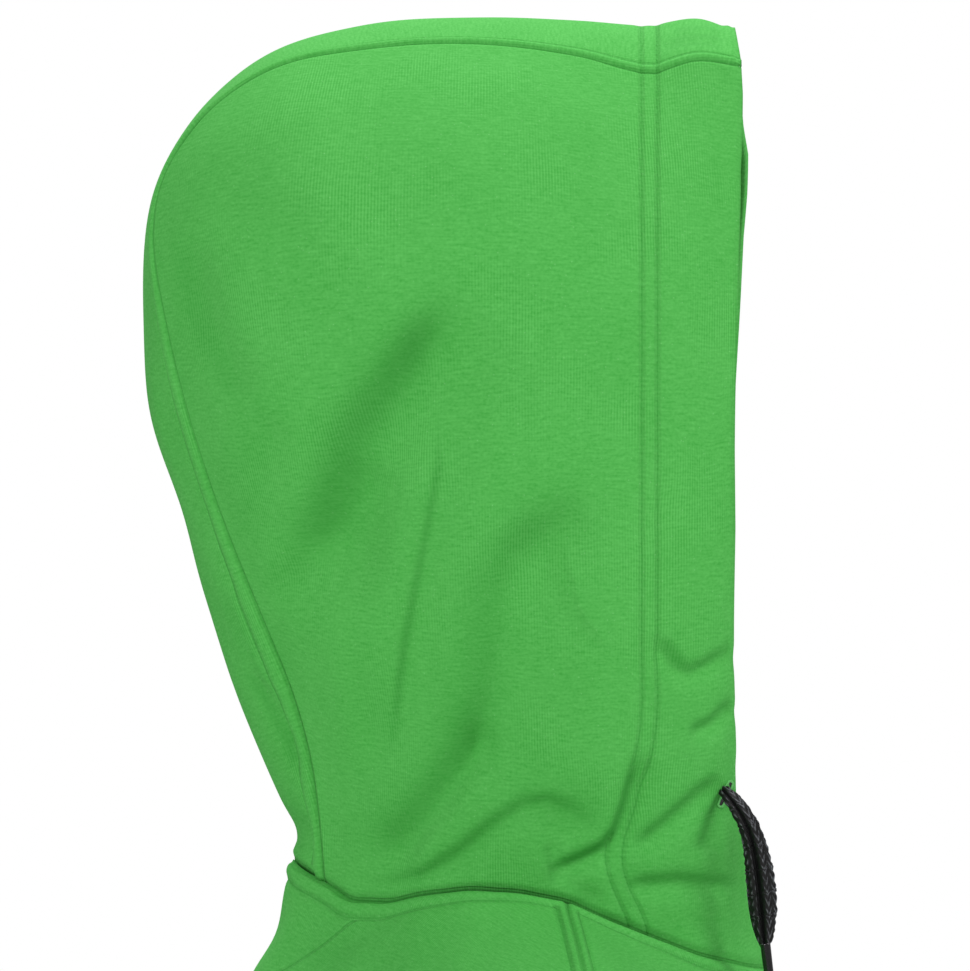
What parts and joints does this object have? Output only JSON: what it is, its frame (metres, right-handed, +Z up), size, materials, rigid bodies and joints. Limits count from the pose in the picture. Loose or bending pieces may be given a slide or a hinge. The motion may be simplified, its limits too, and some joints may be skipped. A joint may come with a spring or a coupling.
{
  "type": "zip hoodie",
  "caption": "Hollow zip-up hoodie with a raised three-piece hood, ribbed cuffs and hem, patch pockets and a flat braided drawstring.",
  "frame": {"origin": "midway between the two high shoulder points, where the garment's weight hangs on the wearer", "axes": "+X to the wearer's left, -Y to the wearer's front, +Z up along the body"},
  "size_m": [0.926, 0.2799, 1.0224],
  "materials": {
    "fleece": "matte knitted fleece, green",
    "rib_knit": "matte rib knit, green",
    "zip_tape": "matte woven tape, green",
    "zip_metal": "satin nickel plate",
    "black_braid": "matte flat braid, black",
    "glossy_tip": "glossy black sleeve"
  },
  "bodies": {
    "garment": {"hood_side_right": "fleece", "hood_side_left": "fleece", "hood_centre": "fleece", "front_right": "fleece", "front_left": "fleece", "back": "fleece", "sleeve_right": "fleece", "sleeve_left": "fleece", "pocket_right": "fleece", "pocket_left": "fleece", "cuff_right": "rib_knit", "cuff_left": "rib_knit", "hem_band": "rib_knit", "zip_tape_right": "zip_tape", "zip_tape_left": "zip_tape", "zip_chain": "zip_metal", "zip_box": "zip_metal", "zip_slider": "zip_metal", "drawcord_right": "black_braid", "drawcord_left": "black_braid", "cord_tip_right": "glossy_tip", "cord_tip_left": "glossy_tip"},
    "pull": {"zip_pull": "zip_metal"}
  },
  "joints": [
    {"name": "pull_swing", "type": "hinge", "parent": "garment", "child": "pull", "pos_m": [0, -0.10157, -0.0421], "axis": [-1, 0, 0], "range_deg": [0, 150]}
  ]
}
